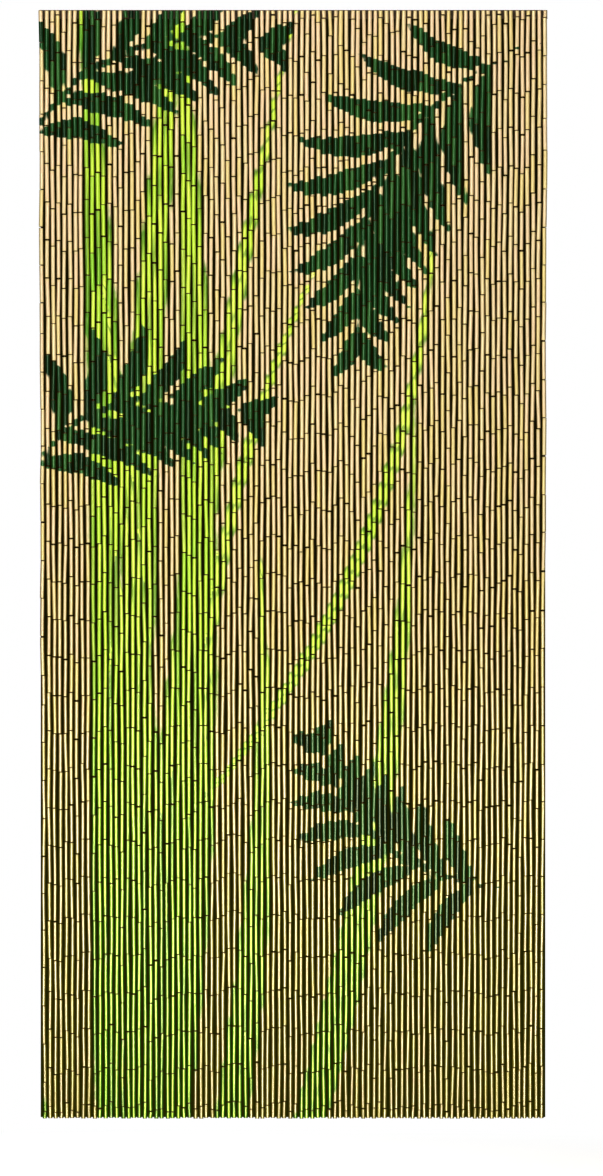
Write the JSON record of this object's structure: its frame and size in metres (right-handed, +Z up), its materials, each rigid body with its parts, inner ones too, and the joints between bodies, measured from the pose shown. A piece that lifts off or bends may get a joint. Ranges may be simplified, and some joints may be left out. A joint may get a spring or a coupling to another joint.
{
  "type": "bamboo bead door curtain",
  "caption": "Flat door curtain of short painted bamboo tubes threaded on hanging cords under a narrow heading band.",
  "frame": {"origin": "middle of the heading band's top edge, where the doorway holds the curtain", "axes": "+Z up, +X to the right seen from the painted front, and the front faces -Y"},
  "size_m": [0.9048, 0.0093, 1.9717],
  "materials": {
    "bamboo": "natural bamboo, painted cream on the front with a design in lime green and dark green, under clear varnish",
    "heading_tape": "plain woven tape",
    "cord": "thin twisted cord"
  },
  "bodies": {
    "root": {"strand_curtain": "bamboo"}
  },
  "joints": []
}
